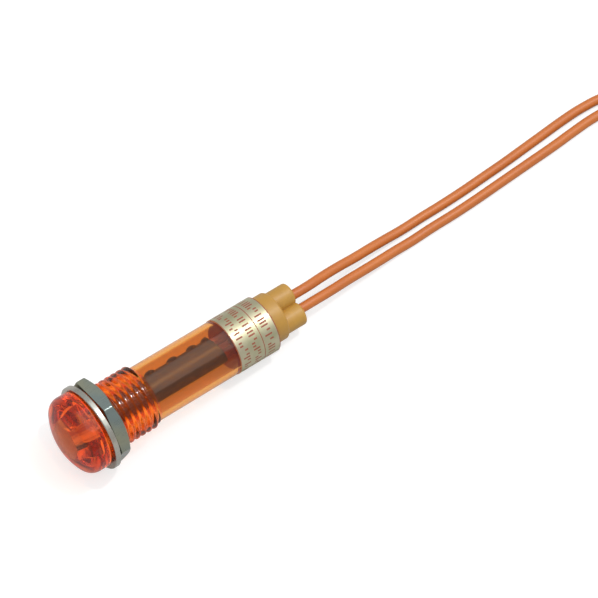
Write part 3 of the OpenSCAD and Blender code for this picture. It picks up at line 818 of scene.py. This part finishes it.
def label_mesh():
    heights = label_heights()
    pattern = stroke_pattern()
    front = label_end - label_w
    inner_r = barrel_r + 0.01

    def printed(step, band):
        """Which material the face has: foil, ink, or the adhesive on the back."""
        if band >= len(heights) - 1:
            return 2
        middle = (heights[band] + heights[band + 1]) / 2
        if middle < edge_rule or middle > label_w - edge_rule or 0 < middle - rule_at < rule:
            return 1
        for row, (low, high) in zip(pattern, stroke_rows):
            if low < middle < high:
                return row[step][int(middle > (low + high) / 2)]
        return 0

    rows = []
    for step in range(strokes_around):
        a = stroke_step * (step + label_gap_at)
        loop = [(label_r, z) for z in heights] + [(inner_r, label_w), (inner_r, 0), (label_r, 0)]
        rows.append([(r * math.cos(a), r * math.sin(a), front + z) for r, z in loop])
    return skin(rows, "foil_label", printed)


# Rolled foil with a lacquer: a soft metallic sheen, with a straw and a green bloom in patches of
# 2.4 mm and shallow wrinkles where it follows the barrel. The print is satin red-brown ink, and
# the adhesive behind it has a faint painted glow, emission that stands in for light that comes
# along the barrel's wall.
def gold_foil():
    material, tree = new_material("rolled_gold_foil")
    place = add(tree, "TexCoord", {})
    cloud = add(tree, "TexNoise", {
        "Vector": place.outputs["Object"], "Scale": grains(2.38), "Detail": 4,
    })
    tone = add(tree, "Mix", {
        "Factor": cloud.outputs["Fac"], "A": linear("#d6cab2"), "B": linear("#a0a67c"),
    }, data_type="RGBA")
    rough = add(tree, "MapRange", {"Value": cloud.outputs["Fac"], "To Min": 0.3, "To Max": 0.5})
    bump = add(tree, "Bump", {"Height": cloud.outputs["Fac"], "Strength": 0.25, "Distance": 0.00003})
    foil = add(tree, "BsdfPrincipled", {
        "Base Color": tone.outputs["Result"], "Metallic": 0.85, "Roughness": rough.outputs["Result"],
        "Normal": bump.outputs["Normal"],
    })
    add(tree, "OutputMaterial", {"Surface": foil.outputs[0]})
    return material


adhesive_painted_glow = 0.28
label = new_piece("rating_label", label_mesh(), "lamp", "label_foil", "foil_label")
dress(
    label,
    gold_foil(),
    moulded_plastic("brown_label_ink", "#a3553f", "#8c4732", 0.5),
    moulded_plastic("amber_label_adhesive", "#e3a05e", "#cc8a4a", 0.4, adhesive_painted_glow),
)


# Inside, a dark shrink sleeve holds the light-emitting diode, its resistor and a second diode to
# the two wires. The sleeve shows through the barrel, and the first diode's tip through the head.
dress("insulating_sleeve", moulded_plastic("shrunk_dark_polyolefin", "#53461a", "#382f11", 0.35))


# Epoxy cast round the die: smooth outside, milky and grainy over 1 mm within. It also has a faint
# painted glow, emission that stands in for light it would spread from what falls in through the head.
epoxy_painted_glow = 0.22


def cast_epoxy():
    material, tree = new_material("cast_milky_epoxy")
    place = add(tree, "TexCoord", {})
    cloud = add(tree, "TexNoise", {
        "Vector": place.outputs["Object"], "Scale": grains(0.909), "Detail": 4,
    })
    grainy = add(tree, "MapRange", {
        "Value": cloud.outputs["Fac"], "From Min": 0.42, "From Max": 0.6,
    })
    tone = add(tree, "Mix", {
        "Factor": grainy.outputs["Result"], "A": linear("#fff2da"), "B": linear("#b47e48"),
    }, data_type="RGBA")
    # painted glow: the epoxy's own colour as emission, though the diode is not lit
    epoxy = add(tree, "BsdfPrincipled", {
        "Base Color": tone.outputs["Result"], "Roughness": 0.12, "IOR": 1.53,
        "Transmission Weight": 0.15, "Emission Color": tone.outputs["Result"],
        "Emission Strength": epoxy_painted_glow,
    })
    add(tree, "OutputMaterial", {"Surface": epoxy.outputs[0]})
    return material


dress("led_epoxy", cast_epoxy())
dress("resistor_body", moulded_plastic("dipped_beige_enamel", "#c9a878", "#bb9868", 0.4))
dress("diode_body", moulded_plastic("moulded_black_epoxy", "#2a2a2c", "#222224", 0.4))
dress("led_die", moulded_plastic("sawn_grey_die", "#77706a", "#5c5752", 0.3))


# Drawn wire: soft grey where it is tinned steel, warm where thin tin lets the copper through, with
# draw lines 0.2 mm wide and 1.4 mm long, wider than in life so that they show. Solder is smoother.
def drawn_metal(name, light, dark, grain):
    material, tree = new_material(name)
    place = add(tree, "TexCoord", {})
    streak = add(tree, "Mapping", {
        "Vector": place.outputs["Object"], "Scale": (grains(0.2), grains(1.43), grains(0.2)),
    })
    lines = add(tree, "TexNoise", {"Vector": streak.outputs["Vector"], "Scale": 1, "Detail": 3})
    tone = add(tree, "Mix", {
        "Factor": lines.outputs["Fac"], "A": linear(light), "B": linear(dark),
    }, data_type="RGBA")
    bump = add(tree, "Bump", {"Height": lines.outputs["Fac"], "Strength": 0.3, "Distance": 0.00001})
    metal = add(tree, "BsdfPrincipled", {
        "Base Color": tone.outputs["Result"], "Metallic": 1, "Roughness": grain,
        "Normal": bump.outputs["Normal"],
    })
    add(tree, "OutputMaterial", {"Surface": metal.outputs[0]})
    return material


tinned_steel = drawn_metal("tinned_steel_wire", "#c2beb4", "#a9a59b", 0.32)
for name in (
    "led_anode", "led_cathode", "resistor_lead_front", "resistor_lead_rear",
    "diode_lead_front", "diode_lead_rear",
):
    dress(name, tinned_steel)
solder = drawn_metal("tin_solder", "#cfccc4", "#bdb9b0", 0.22)
for name in ("solder_anode", "solder_middle", "solder_wire_a", "solder_wire_b"):
    dress(name, solder)
strands = drawn_metal("stranded_tinned_copper", "#cfae8c", "#b98f68", 0.35)
dress("core_a", strands)
dress("core_b", strands)


# The leads' stripped ends are bare strands: seven tinned copper wires, six of them laid round the
# middle one, once round in 5 mm.
strand_count, strand_r, lay_length = 7, 0.099, 5
strand_steps = 24


def stripped_end(name, end_node):
    low, high = (Vector(corner) * 1000 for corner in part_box(end_node))
    middle = (low + high) / 2
    data = bpy.data.curves.new(name, "CURVE")
    data.dimensions = "3D"
    data.bevel_depth = 1
    data.bevel_resolution = 2
    data.use_fill_caps = True
    outer_count = strand_count - 1
    for strand in range(strand_count):
        spline = data.splines.new("POLY")
        spline.points.add(strand_steps)
        for step, knot in enumerate(spline.points):
            y = low.y + (high.y - low.y) * step / strand_steps
            a = 2 * math.pi * (strand / outer_count + y / lay_length)
            out = 2 * strand_r if strand < outer_count else 0
            place = Vector((middle.x + out * math.cos(a), y, middle.z + out * math.sin(a)))
            knot.co = (*(place * 0.001), 1)
            knot.radius = strand_r * 0.001
    curve = bpy.data.objects.new(name, data)
    bpy.context.scene.collection.objects.link(curve)
    bpy.context.view_layer.update()
    mesh = bpy.data.meshes.new_from_object(curve.evaluated_get(bpy.context.evaluated_depsgraph_get()))
    bpy.data.objects.remove(curve)
    return dress(new_piece(name, mesh, "lamp", "strand_copper", end_node), strands)


stripped = {end: stripped_end("stripped_" + end, "bare_" + end) for end in ("end_a", "end_b")}


# A flat tie of white plastic over a thin wire holds the folded leads. It was bent round them by
# hand, and its soft matt plastic has no shine.
dress("bundle_tie", moulded_plastic("extruded_white_tie_plastic", "#e8e4d8", "#d9d3c4", 0.75))

bpy.context.view_layer.update()
